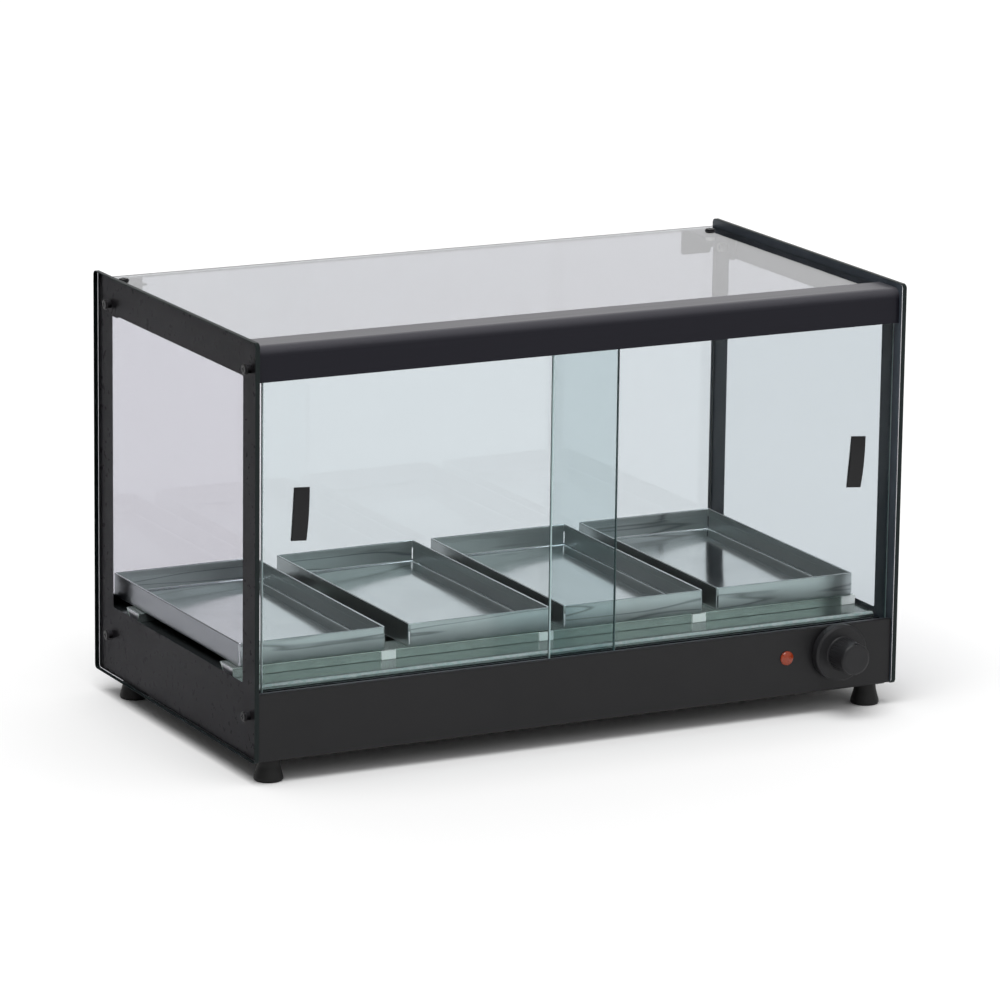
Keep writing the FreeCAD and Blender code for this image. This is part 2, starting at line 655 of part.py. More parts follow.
# ---- doors -----------------------------------------------------------------------------
def pull(place, face_depth):
    """Arched finger pull bonded to a door's front face, leaning a little."""
    x, z, lean = place
    width, length, crown = PULL
    foot = face_depth - FILM
    half = length / 2
    points = [Vector(0, FRONT + foot, -half), Vector(0, FRONT + foot - PULL_EDGE, -half),
              Vector(0, FRONT + foot - crown, 0), Vector(0, FRONT + foot - PULL_EDGE, half),
              Vector(0, FRONT + foot, half)]
    edges = [Part.LineSegment(points[0], points[1]).toShape(),
             Part.Arc(points[1], points[2], points[3]).toShape(),
             Part.LineSegment(points[3], points[4]).toShape(),
             Part.LineSegment(points[4], points[0]).toShape()]
    body = Part.Face(Part.Wire(edges)).extrude(Vector(width, 0, 0))
    body.translate(Vector(-width / 2, 0, 0))
    crown_edges = [edge for edge in body.Edges
                   if edge.BoundBox.ZLength > half and edge.BoundBox.YMin < FRONT + foot - 1]
    body = body.makeFillet(0.6, crown_edges)
    body.rotate(Vector(0, 0, 0), Y_AXIS, lean)
    body.translate(Vector(x, 0, z))
    return body


def doors():
    rests = (("left", LEFT_DOOR_END, REAR_TRACK, LEFT_PULL),
             ("right", RIGHT_DOOR_END - DOOR_WIDTH, FRONT_TRACK, RIGHT_PULL))
    for name, start, depth, place in rests:
        door = pane((start, start + DOOR_WIDTH), (depth, depth + GLASS), DOOR_Z, Y_AXIS)
        save(f"{name}_door_glass", door)
        save(f"{name}_door_pull", pull(place, depth))


# ---- feet ------------------------------------------------------------------------------
def feet():
    well_radius, well = FOOT_WELL
    profile = [(FOOT_HOLE, well), (well_radius, well), (well_radius, 0), (FOOT_BASE - 1.6, 0),
               (FOOT_BASE - 0.5, 0.5), (FOOT_BASE, 1.6), (FOOT_BASE - 0.2, 3.4), (FOOT_NECK + 0.7, 12.5),
               (FOOT_NECK, FOOT_HEIGHT - 0.4), (FOOT_NECK - 0.4, FOOT_HEIGHT), (FOOT_HOLE, FOOT_HEIGHT)]
    screws = []
    nuts = []
    head, shank, length = FOOT_SCREW
    for end, depth, nut_z in zip(("front", "rear"), FOOT_DEPTHS, FOOT_NUT_Z):
        for name, x in (("left", -FOOT_X), ("right", FOOT_X)):
            save(f"foot_{end}_{name}", revolved(profile, at(x, depth, 0), Z_AXIS))
            screws.append(screw(at(x, depth, well), Z_AXIS, head, shank, length))
            nuts.append(hex_prism(8.0, at(x, depth, nut_z), Z_AXIS, 4.0, shank + 0.1))
    save("foot_screws", *screws)
    save("foot_nuts", *nuts)


# ---- thermostat and its knob -----------------------------------------------------------
def knob():
    """Skirted knob; heights run forwards from the front panel's plane."""
    face = 9.2
    nose = PANEL_INSET + KNOB_PROUD
    base_radius, nose_radius = GRIP_RADIUS
    hub = 6.0
    hub_foot = 3.5
    inside = SKIRT_RADIUS - 2.0
    socket = SHAFT_RADIUS + 0.02
    profile = [(hub, hub_foot), (hub, 6.6), (inside, 6.6), (inside, 0.8), (SKIRT_RADIUS, 0.8),
               (SKIRT_RADIUS, face - 1.5), (SKIRT_RADIUS - 1.8, face), (base_radius + 0.8, face),
               (base_radius, face + 0.8), (nose_radius, nose - 2.4), (nose_radius - 0.8, nose - 0.8),
               (nose_radius - 2.6, nose - 0.1), (nose_radius - 6, nose), (0, nose), (0, SOCKET_DEPTH),
               (socket, SOCKET_DEPTH), (socket, hub_foot)]
    axis = at(KNOB_X, PANEL_INSET, KNOB_Z)
    body = revolved(profile, axis, Y_AXIS * -1)
    flutes = []
    for k in range(GRIP_FLUTES):
        angle = 2 * math.pi * (k + 0.5) / GRIP_FLUTES
        offset = Vector(math.sin(angle), 0, math.cos(angle)) * (base_radius + 0.35)
        flutes.append(cylinder(0.9, axis + offset + Vector(0, -12.5, 0), Y_AXIS * -1, nose - 15.5))
    pointer = cylinder(1.1, axis + Vector(0, -nose + 4.0, nose_radius), Y_AXIS * -1, 6.0)
    return body.cut(Part.makeCompound(flutes)).cut(pointer)


def thermostat():
    x, z = KNOB_X, KNOB_Z
    shaft = cylinder(SHAFT_RADIUS, at(x, 15.0, z), Y_AXIS * -1, 35.5)
    flat = Part.makeBox(8, 14, 3, at(x - 4, -20.6, z - SHAFT_RADIUS - 1.6))
    save("thermostat_knob", knob())
    save("thermostat_shaft", shaft.cut(flat))
    wall = PANEL_INSET + SHEET
    body = box((x - 21, x + 21), (wall, THERMOSTAT_BACK), (z - 15, z + 15))
    body = body.makeFillet(2.0, along(body, Y_AXIS))
    body = body.fuse(cylinder(PILOT_HOLE - 0.3, at(x, wall + 1, z), Y_AXIS * -1, 4.2)).removeSplitter()
    body = body.cut(cylinder(SHAFT_RADIUS + 0.06, at(x, 15.5, z), Y_AXIS * -1, 20.0))
    save("thermostat_body", body)
    save("thermostat_nut", hex_prism(14.0, at(x, PANEL_INSET, z), Y_AXIS * -1, 2.2, PILOT_HOLE - 0.25))
    bulb_z = BASE_TOP - SHEET - 3.4
    bulb_start = at(20.0, 72.0, bulb_z)
    save("thermostat_bulb", cylinder(3.0, bulb_start, X_AXIS, 90.0))
    route = [at(x - 12, THERMOSTAT_BACK, z + 4), at(x - 12, 44.0, z + 4), at(185.0, 60.0, z + 8),
             at(150.0, 72.0, bulb_z), at(110.0, 72.0, bulb_z)]
    save("thermostat_capillary", swept_tube(route, 5.0, 0.8))
    clips = []
    for clip_x in (32.0, 92.0):
        outer = box((clip_x, clip_x + 8), (67.8, 76.2), (bulb_z - 3.8, BASE_TOP - SHEET))
        inner = box((clip_x - 1, clip_x + 9), (68.9, 75.1), (bulb_z - 3.0, BASE_TOP))
        clips.append(outer.cut(inner))
    save("bulb_clips", *clips)


def pilot_lamp():
    axis = at(PILOT_X, PANEL_INSET, PILOT_Z)
    plug = 4.6
    dome = [(0, -4.0), (plug, -4.0), (plug, 0), (PILOT_RADIUS, 0), (PILOT_RADIUS, 1.0),
            (PILOT_RADIUS - 0.7, 1.7), (3.6, 2.5), (0, 2.8)]
    save("pilot_lamp_lens", revolved(dome, axis, Y_AXIS * -1))
    sleeve = PILOT_HOLE - 0.15
    body = [(0, 4.0), (plug, 4.0), (plug, 0), (sleeve, 0), (sleeve, 27.0), (0, 27.0)]
    save("pilot_lamp_body", revolved(body, axis, Y_AXIS))


# ---- heater ----------------------------------------------------------------------------
def element_bend(x, first, second, bulge):
    """Half circle that joins two legs of the element; bulge is its signed reach along X."""
    middle = (first + second) / 2
    return Part.Arc(at(x, first, ELEMENT_Z), at(x + bulge, middle, ELEMENT_Z), at(x, second, ELEMENT_Z))


def element_leg(start, end, depth):
    return Part.LineSegment(at(start, depth, ELEMENT_Z), at(end, depth, ELEMENT_Z))


def heater():
    radius = (LEG_DEPTHS[1] - LEG_DEPTHS[0]) / 2
    first, second, third, fourth = LEG_DEPTHS
    z = ELEMENT_Z
    run = [element_leg(ELEMENT_END, LEG_LEFT, first), element_bend(LEG_LEFT, first, second, -radius),
           element_leg(LEG_LEFT, LEG_RIGHT, second), element_bend(LEG_RIGHT, second, third, radius),
           element_leg(LEG_RIGHT, LEG_LEFT, third), element_bend(LEG_LEFT, third, fourth, -radius),
           element_leg(LEG_LEFT, ELEMENT_END, fourth)]
    path = Part.Wire([edge.toShape() for edge in run])
    section = Part.Wire(Part.makeCircle(ELEMENT_RADIUS, at(ELEMENT_END, first, z), X_AXIS))
    ends = [at(ELEMENT_END, depth, z) for depth in (first, fourth)]
    pins = [cylinder(1.6, end, X_AXIS, 22.0) for end in ends]
    save("heating_element", path.makePipeShell([section], True, False), *pins)
    save("element_insulators", *[tube(5.0, 1.62, end, X_AXIS, 12.0) for end in ends])
    underside = BASE_TOP - SHEET
    bar_top = z - ELEMENT_RADIUS
    bars = []
    studs = []
    nuts = []
    reflector_holes = []
    for x in CLAMP_X:
        bar = box((x - 6, x + 6), (STUD_DEPTHS[0] - 7, STUD_DEPTHS[-1] + 7), (bar_top - 1.0, bar_top))
        for depth in STUD_DEPTHS:
            stud_foot = at(x, depth, REFLECTOR_Z - 4.5)
            studs.append(cylinder(2.0, stud_foot, Z_AXIS, underside - REFLECTOR_Z + 4.5))
            bar = bar.cut(cylinder(2.1, at(x, depth, bar_top - 2), Z_AXIS, 4))
            reflector_holes.append(cylinder(2.1, at(x, depth, REFLECTOR_Z - 1), Z_AXIS, 3))
            for nut_z in (bar_top - 4.4, REFLECTOR_Z - 3.3):
                nuts.append(hex_prism(7.0, at(x, depth, nut_z), Z_AXIS, 3.2, 2.05))
        bars.append(bar)
    save("element_clamp_bars", *bars)
    save("clamp_studs", *studs)
    (x0, x1), (d0, d1) = REFLECTOR
    wall = REFLECTOR_WALL
    pan = box((x0, x1), (d0, d1), (REFLECTOR_Z, REFLECTOR_Z + 8))
    inner = box((x0 + wall, x1 - wall), (d0 + wall, d1 - wall), (REFLECTOR_Z + wall, REFLECTOR_Z + 9))
    save("heat_reflector", pan.cut(inner).cut(Part.makeCompound(reflector_holes)))
    return nuts


# ---- mains entry and wiring ------------------------------------------------------------
BLOCK_X = (140.0, 178.0)
BLOCK_DEPTHS = (284.0, 300.0)
EARTH_STUD = at(120.0, 262.0, BASE_BOTTOM)


def mains_entry():
    wall_outer = CASE_DEPTH - PANEL_INSET
    wall_inner = wall_outer - SHEET
    nose = wall_outer + PANEL_INSET + GLAND_PROUD
    hexagon = hex_prism(17.0, at(GLAND_X, wall_outer, GLAND_Z), Y_AXIS, 5.0, CORD_BORE)
    tip = nose - wall_outer
    cap = [(CORD_BORE, 5.0), (8.0, 5.0), (8.0, 9.0), (7.2, 12.0), (5.6, tip), (CORD_BORE, tip)]
    sleeve = tube(6.0, CORD_BORE, at(GLAND_X, wall_inner - 11, GLAND_Z), Y_AXIS, 11 + SHEET)
    dome = revolved(cap, at(GLAND_X, wall_outer, GLAND_Z), Y_AXIS)
    save("cable_gland", hexagon.fuse([sleeve, dome]).removeSplitter())
    save("gland_locknut", hex_prism(17.0, at(GLAND_X, wall_inner, GLAND_Z), Y_AXIS * -1, 3.5, 6.05))
    floor = BASE_BOTTOM
    block = box(BLOCK_X, BLOCK_DEPTHS, (floor, floor + 14))
    for k in range(3):
        x = BLOCK_X[0] + 7 + 12 * k
        block = block.cut(cylinder(2.4, at(x, sum(BLOCK_DEPTHS) / 2, floor + 9), Z_AXIS, 6))
        block = block.cut(cylinder(1.6, at(x, BLOCK_DEPTHS[0] - 1, floor + 5), Y_AXIS, 18))
    save("terminal_block", block)
    save("earth_stud", screw(EARTH_STUD + Vector(0, 0, -SHEET), Z_AXIS, (3.6, 1.9), 2.0, 12.0))
    return [hex_prism(7.0, EARTH_STUD, Z_AXIS, 3.2, 2.05)]


def wiring():
    """Insulated leads inside the base, each from terminal to terminal."""
    floor = BASE_BOTTOM + 5
    block_front = BLOCK_DEPTHS[0] - 0.2
    first, last = LEG_DEPTHS[0], LEG_DEPTHS[-1]
    pin = ELEMENT_END + 22.2
    lanes = [BLOCK_X[0] + 7 + 12 * k for k in range(3)]
    thermostat_back = THERMOSTAT_BACK + 0.2
    routes = {
        "live": [at(lanes[2], block_front, floor), at(lanes[2], 276, floor), at(262, 262, floor + 3),
                 at(262, 60, floor + 3), at(254, 46, 45), at(254, thermostat_back, 45)],
        "switched": [at(232, thermostat_back, 45), at(232, 50, 45), at(232, 84, 50),
                     at(232, first, ELEMENT_Z), at(pin, first, ELEMENT_Z)],
        "neutral": [at(lanes[1], block_front, floor), at(lanes[1], 268, floor), at(240, 258, floor + 14),
                    at(240, last, ELEMENT_Z - 4), at(232, last, ELEMENT_Z), at(pin, last, ELEMENT_Z)],
        "lamp": [at(PILOT_X + 2, 30.2, PILOT_Z), at(PILOT_X + 2, 44, PILOT_Z), at(PILOT_X + 6, 60, 40),
                 at(PILOT_X + 6, 230, 34), at(lanes[1] + 8, 270, 32)],
        "earth": [at(lanes[0], block_front, floor), at(lanes[0], 274, floor),
                  at(EARTH_STUD.x + 10, 262, floor + 2)],
    }
    bends = {"live": 6.0, "switched": 4.5, "neutral": 3.0, "lamp": 6.0, "earth": 4.0}
    save("wiring_leads", *[swept_tube(route, bends[name], 1.2) for name, route in routes.items()])


# ---- build -----------------------------------------------------------------------------
os.makedirs("parts", exist_ok=True)
glass_shell()
glass_fixings()
save("top_front_rail", rail())
save("rail_glazing_strip", glazing_strip())
save("lower_door_track", door_track())
save("threaded_inserts", *brackets(), *base_box())
save("deck", deck())
for name, depth, lugs in zip(("front", "rear"), SUPPORT_DEPTHS, (LUGS, ())):
    save(f"{name}_tray_support", tray_support(depth, lugs))
for number, (x, front, turn) in enumerate(TRAY_PLACES, start=1):
    save(f"food_tray_{number}", tray(x, front, turn))
doors()
feet()
thermostat()
pilot_lamp()
save("hex_nuts", *heater(), *mains_entry())
wiring()
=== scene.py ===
import json
import math

import bmesh
import bpy
from mathutils import Matrix, Quaternion, Vector


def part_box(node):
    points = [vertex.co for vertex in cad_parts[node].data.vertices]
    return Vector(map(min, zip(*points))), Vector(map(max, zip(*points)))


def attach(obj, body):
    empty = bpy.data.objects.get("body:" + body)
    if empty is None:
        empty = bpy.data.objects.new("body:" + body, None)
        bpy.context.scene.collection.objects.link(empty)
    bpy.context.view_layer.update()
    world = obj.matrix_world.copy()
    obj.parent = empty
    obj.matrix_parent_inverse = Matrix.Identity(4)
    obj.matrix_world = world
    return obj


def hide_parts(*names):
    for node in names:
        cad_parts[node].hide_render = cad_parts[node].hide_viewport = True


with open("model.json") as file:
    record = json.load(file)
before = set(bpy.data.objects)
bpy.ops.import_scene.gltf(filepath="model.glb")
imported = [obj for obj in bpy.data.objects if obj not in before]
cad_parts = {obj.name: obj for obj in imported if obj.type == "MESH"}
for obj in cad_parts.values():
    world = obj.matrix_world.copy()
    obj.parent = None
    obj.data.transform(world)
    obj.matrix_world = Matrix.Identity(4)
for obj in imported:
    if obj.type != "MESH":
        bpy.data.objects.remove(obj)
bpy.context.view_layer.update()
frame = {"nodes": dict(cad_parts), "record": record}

NODES = frame["nodes"]
MM = 0.001

CASE_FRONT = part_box("left_side_glass")[0].y


# ---- camera ------------------------------------------------------------------------
CAMERA_YAW = math.radians(27.206)
CAMERA_PITCH = math.radians(13.523)
CAMERA_ROLL = math.radians(0.736)
CAMERA_PLACE = Vector((-2.1193, CASE_FRONT - 3.9649, 1.2892))
CAMERA_LENS = 202.8


def make_camera():
    """Long lens from the front left, a little above the case."""
    data = bpy.data.cameras.new("camera")
    data.sensor_width = 36.0
    data.lens = CAMERA_LENS
    data.clip_start = 0.1
    data.clip_end = 60.0
    camera = bpy.data.objects.new("camera", data)
    bpy.context.collection.objects.link(camera)
    forward = Vector((math.sin(CAMERA_YAW) * math.cos(CAMERA_PITCH),
                      math.cos(CAMERA_YAW) * math.cos(CAMERA_PITCH), -math.sin(CAMERA_PITCH)))
    camera.location = CAMERA_PLACE
    camera.rotation_mode = "QUATERNION"
    camera.rotation_quaternion = forward.to_track_quat("-Z", "Y") @ Quaternion((0, 0, 1), CAMERA_ROLL)
    bpy.context.scene.camera = camera


# ---- shader building --------------------------------------------------------------
class Shader:
    """A material with a Principled surface, and short ways to add nodes to it."""

    def __init__(self, name, **values):
        self.material = bpy.data.materials.new(name)
        self.material.use_nodes = True
        self.tree = self.material.node_tree
        self.surface = self.tree.nodes["Principled BSDF"]
        self.output = self.tree.nodes["Material Output"]
        for socket, value in values.items():
            self.surface.inputs[socket.replace("_", " ")].default_value = value

    def add(self, kind, settings=None, **inputs):
        """New node. An input is a value or a socket, by name with _ for a space, or by index as _0 or _1."""
        node = self.tree.nodes.new(kind)
        for key, value in (settings or {}).items():
            setattr(node, key, value)
        for key, value in inputs.items():
            socket = node.inputs[int(key[1:])] if key[1:].isdigit() else node.inputs[key.replace("_", " ")]
            if isinstance(value, bpy.types.NodeSocket):
                self.tree.links.new(value, socket)
            else:
                socket.default_value = value
        return node

    def link(self, source, socket_name):
        self.tree.links.new(source, self.surface.inputs[socket_name])

    def place(self, stretch=(1, 1, 1)):
        """Object coordinates in metres, scaled per axis."""
        coordinates = self.add("ShaderNodeTexCoord").outputs["Object"]
        return self.add("ShaderNodeMapping", Vector=coordinates, Scale=stretch).outputs["Vector"]

    def noise(self, size, detail=3.0, stretch=(1, 1, 1), rough=0.55):
        """Noise whose features are about size metres across."""
        node = self.add("ShaderNodeTexNoise", Vector=self.place(stretch), Scale=1 / size, Detail=detail,
                        Roughness=rough)
        return node.outputs["Fac"]

    def ramp(self, factor, low, high, low_at=0.3, high_at=0.7):
        """Maps a factor to values between low and high."""
        node = self.add("ShaderNodeMapRange", Value=factor)
        for name, value in (("From Min", low_at), ("From Max", high_at), ("To Min", low), ("To Max", high)):
            node.inputs[name].default_value = value
        return node.outputs["Result"]

    def maths(self, operation, *operands):
        """Result of one arithmetic step on sockets or numbers."""
        inputs = {f"_{index}": operand for index, operand in enumerate(operands)}
        return self.add("ShaderNodeMath", {"operation": operation}, **inputs).outputs[0]

    def tone(self, factor, first, second, blend="MIX"):
        """Colour from two by a factor; each is a colour or a socket."""
        node = self.add("ShaderNodeMix", {"data_type": "RGBA", "blend_type": blend}, Factor=factor)
        colour_inputs = [socket for socket in node.inputs if socket.type == "RGBA"]
        for socket, colour in zip(colour_inputs, (first, second)):
            if isinstance(colour, bpy.types.NodeSocket):
                self.tree.links.new(colour, socket)
            else:
                socket.default_value = (*colour, 1)
        return next(socket for socket in node.outputs if socket.type == "RGBA")

    def facing(self):
        """Sockets with the X, Y and Z of the surface's normal, in the piece's own axes."""
        normal = self.add("ShaderNodeTexCoord").outputs["Normal"]
        return self.add("ShaderNodeSeparateXYZ", Vector=normal).outputs

    def bump(self, height, depth, strength=1.0):
        """Adds relief of the given depth in metres, on top of any already there."""
        node = self.add("ShaderNodeBump", Height=height, Distance=depth, Strength=strength)
        before = self.surface.inputs["Normal"].links
        if before:
            self.tree.links.new(before[0].from_socket, node.inputs["Normal"])
        self.link(node.outputs["Normal"], "Normal")


# ---- materials -----------------------------------------------------------------------
SURFACE_PASS = 0.97         # the part of the light that gets through one surface of a pane
PANE_FACING = 0.9           # a polygon whose normal has less than this through the glass is an edge
EDGE_BLEND = 0.3 * MM       # half the width of the step from a door edge's light line to its dark one
BORE_MARGIN = 4 * MM        # edges further than this inside a pane are screw holes
LUG_FACE = 0.9 * MM         # polygons this near the front of the support are lugs
LUG_TILT = (0, 0, 0.45)     # added to the lugs' normals


def glass(name, tint, ior=1.5, shade=None):
    """Float glass with a faint drift in its tint. Lamps shine through it by its shade."""
    shader = Shader(name, IOR=ior, Transmission_Weight=1.0, Roughness=0.0)
    shader.link(shader.tone(shader.noise(0.3), tuple(c * 0.985 for c in tint), tint), "Base Color")
    ray = shader.add("ShaderNodeLightPath").outputs["Is Shadow Ray"]
    passed = (math.sqrt(c) * SURFACE_PASS for c in shade or tint)
    clear = shader.add("ShaderNodeBsdfTransparent", Color=(*passed, 1)).outputs[0]
    mix = shader.add("ShaderNodeMixShader", _0=ray, _1=shader.surface.outputs[0], _2=clear)
    shader.tree.links.new(mix.outputs[0], shader.output.inputs["Surface"])
    return shader.material


def ground_edge(name, colour, level=0.3):
    """Edge of a pane as the grinding wheel leaves it: dull, with fine marks along it."""
    shader = Shader(name, Roughness=0.45, Specular_IOR_Level=level)
    marks = shader.noise(0.0015, detail=2.0)
    shader.link(shader.tone(marks, tuple(c * 0.75 for c in colour), colour), "Base Color")
    return shader.material


def edge_with_painted_highlight(name, light, dark, middle):
    """Edge of a door, painted as a light line in front, a painted highlight, and a dark line behind; middle
    is y between the two.
    """
    shader = Shader(name, Roughness=0.3, Specular_IOR_Level=0.3)
    place = shader.add("ShaderNodeSeparateXYZ", Vector=shader.place()).outputs["Y"]
    side = shader.ramp(place, 0.0, 1.0, middle - EDGE_BLEND, middle + EDGE_BLEND)
    uneven = shader.maths("MULTIPLY", side, shader.ramp(shader.noise(0.004), 0.9, 1.0))
    shader.link(shader.tone(uneven, light, dark), "Base Color")
    return shader.material


def finish_pane(name, thin_axis, face, edge):
    """Gives a pane its clear faces and ground edges; thin_axis is 0, 1 or 2, through the glass."""
    mesh = NODES[name].data
    mesh.materials.clear()
    mesh.materials.append(face)
    mesh.materials.append(edge)
    for polygon in mesh.polygons:
        polygon.material_index = 0 if abs(polygon.normal[thin_axis]) > PANE_FACING else 1


def paint_bore_walls(name, material):
    """Paints the walls of a side pane's screw holes in a pale enamel colour: painted light that hides the
    shade in the holes.
    """
    mesh = NODES[name].data
    mesh.materials.append(material)
    low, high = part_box(name)
    for polygon in mesh.polygons:
        middle = polygon.center
        inside = all(low[axis] + BORE_MARGIN < middle[axis] < high[axis] - BORE_MARGIN for axis in (1, 2))
        if inside and polygon.material_index == 1:
            polygon.material_index = 2


def powder_coat():
    """Baked powder with a fine orange peel."""
    shader = Shader("black_powder_coat", Specular_IOR_Level=0.3)
    coat = shader.tone(shader.noise(0.09), (0.0062, 0.0062, 0.0072), (0.0085, 0.0085, 0.0097))
    shader.link(coat, "Base Color")
    shader.link(shader.ramp(shader.noise(0.03), 0.36, 0.46), "Roughness")
    shader.bump(shader.noise(0.0011, detail=2.0), 0.00003, 0.5)
    return shader.material


def anodised():
    """Drawn and anodised aluminium: silky, with faint lines along its length, and painted paler on top as
    painted light from above.
    """
    shader = Shader("black_anodised", Specular_IOR_Level=0.2, Specular_Tint=(0.9, 0.88, 1.0, 1.0))
    lines = shader.noise(0.002, stretch=(0.02, 1, 1))
    drawn = shader.tone(lines, (0.005, 0.005, 0.008), (0.0075, 0.0075, 0.0115))
    # painted light: faces that look up get a paler colour, as where light from above falls on them
    painted_top_light = shader.ramp(shader.facing()["Z"], 0.0, 1.0, 0.05, 1.0)
    shader.link(shader.tone(painted_top_light, drawn, (0.068, 0.067, 0.076)), "Base Color")
    shader.link(shader.ramp(shader.noise(0.0015, stretch=(0.01, 1, 1)), 0.3, 0.38), "Roughness")
    return shader.material


def paint_wall_shade(shader, colour, walls):
    """Painted shade: darkens the colour of the walls that face X or Y by two factors."""
    facing = shader.facing()
    for axis, factor in enumerate(walls):
        upright = shader.ramp(shader.maths("ABSOLUTE", facing[axis]), 0.0, 1.0, 0.6, 0.98)
        wall_shade_colour = shader.tone(upright, (1, 1, 1), (factor, factor, factor))
        colour = shader.tone(1.0, colour, wall_shade_colour, blend="MULTIPLY")
    return colour


def paint_shade_lines(shader, colour, darkness):
    """Painted shade in long wavy darker lines in the walls that face Y."""
    wander = shader.noise(0.016, detail=1.0, stretch=(0.08, 1, 1))
    off_line = shader.maths("ABSOLUTE", shader.ramp(wander, -1.0, 1.0, 0.0, 1.0))
    upright = shader.ramp(shader.maths("ABSOLUTE", shader.facing()["Y"]), 0.0, 1.0, 0.6, 0.98)
    on_line = shader.maths("MULTIPLY", shader.ramp(off_line, 1.0, 0.0, 0.0, 0.05), upright)
    # the darker lines are painted shade in the colour
    return shader.tone(1.0, colour, shader.tone(on_line, (1, 1, 1), (darkness,) * 3), blend="MULTIPLY")


def steel_sheet(name, colour, rough, wave, walls=(1.0, 1.0), wall_rough=0.0, lip=0.0, line_shade=1.0,
                metallic=1.0):
    """Bright annealed sheet: long shallow waves and cloudy smears. Walls that face X or Y are darker by
    the two factors, a painted shade, and at least as rough as wall_rough; lip dimples the rolled front
    and paints a highlight on it in whiter, speckled, less metallic colour; line_shade is the darkness
    of the painted shade in long wavy lines in walls that face Y."""
    shader = Shader(name, Metallic=metallic)
    up = shader.facing()["Z"]
    clouds = shader.noise(0.035, detail=4.0, stretch=(1, 0.6, 2))
    colour = paint_wall_shade(shader, shader.tone(clouds, tuple(c * 0.8 for c in colour), colour), walls)
    if line_shade < 1:
        colour = paint_shade_lines(shader, colour, line_shade)
    gloss = shader.ramp(shader.noise(0.02, detail=1.0, stretch=(1, 0.15, 1)), rough, rough * 1.5)
    shader.bump(shader.noise(0.06, detail=0.0, stretch=(0.5, 0.8, 1.6)), 0.002, wave)
    if wall_rough:
        gloss = shader.maths("MAXIMUM", gloss, shader.ramp(up, wall_rough, 0.0, 0.2, 0.8))
    if lip:
        below_flat = shader.ramp(up, 1.0, 0.0, 0.93, 0.995)
        rolled = shader.maths("MULTIPLY", below_flat, shader.ramp(up, 0.0, 1.0, 0.45, 0.6))
        gloss = shader.maths("MAXIMUM", gloss, shader.ramp(rolled, 0.0, lip, 0.0, 1.0))
        dimples = shader.noise(0.0035, detail=3.0, rough=0.8)
        shader.bump(shader.maths("MULTIPLY", rolled, dimples), 0.0006, 0.8)
        # painted highlight: the rolled front is whitened, speckled by the dimples and made less metallic so
        # that it shows as a bright band
        painted_lip_highlight = shader.tone(shader.ramp(dimples, 0.0, 1.0, 0.4, 0.6), (0.72, 0.86, 0.83), (1, 1, 1))
        colour = shader.tone(rolled, colour, painted_lip_highlight)
        shader.link(shader.ramp(rolled, 0.8, 0.2, 0.0, 1.0), "Metallic")
    shader.link(colour, "Base Color")
    shader.link(gloss, "Roughness")
    return shader.material


def dull_steel(name, colour, rough):
    """Plated or rolled metal with a faint spangle."""
    shader = Shader(name, Metallic=1.0)
    cells = shader.add("ShaderNodeTexVoronoi", Vector=shader.place(), Scale=140.0).outputs["Distance"]
    shader.link(shader.tone(cells, tuple(c * 0.8 for c in colour), colour), "Base Color")
    shader.link(shader.ramp(shader.noise(0.004), rough, rough + 0.12), "Roughness")
    return shader.material


def plain(name, colour, rough, spread=0.25, grain=0.0006, depth=0.00002, **values):
    """Moulded or painted surface: small colour drift, uneven gloss and a fine grain."""
    shader = Shader(name, **values)
    dark = tuple(c * (1 - spread) for c in colour)
    light = tuple(min(1, c * (1 + spread)) for c in colour)
    shader.link(shader.tone(shader.noise(0.02), dark, light), "Base Color")
    shader.link(shader.ramp(shader.noise(0.006), rough - 0.04, rough + 0.04), "Roughness")
    if depth:
        shader.bump(shader.noise(grain, detail=2.0), depth, 0.5)
    return shader.material


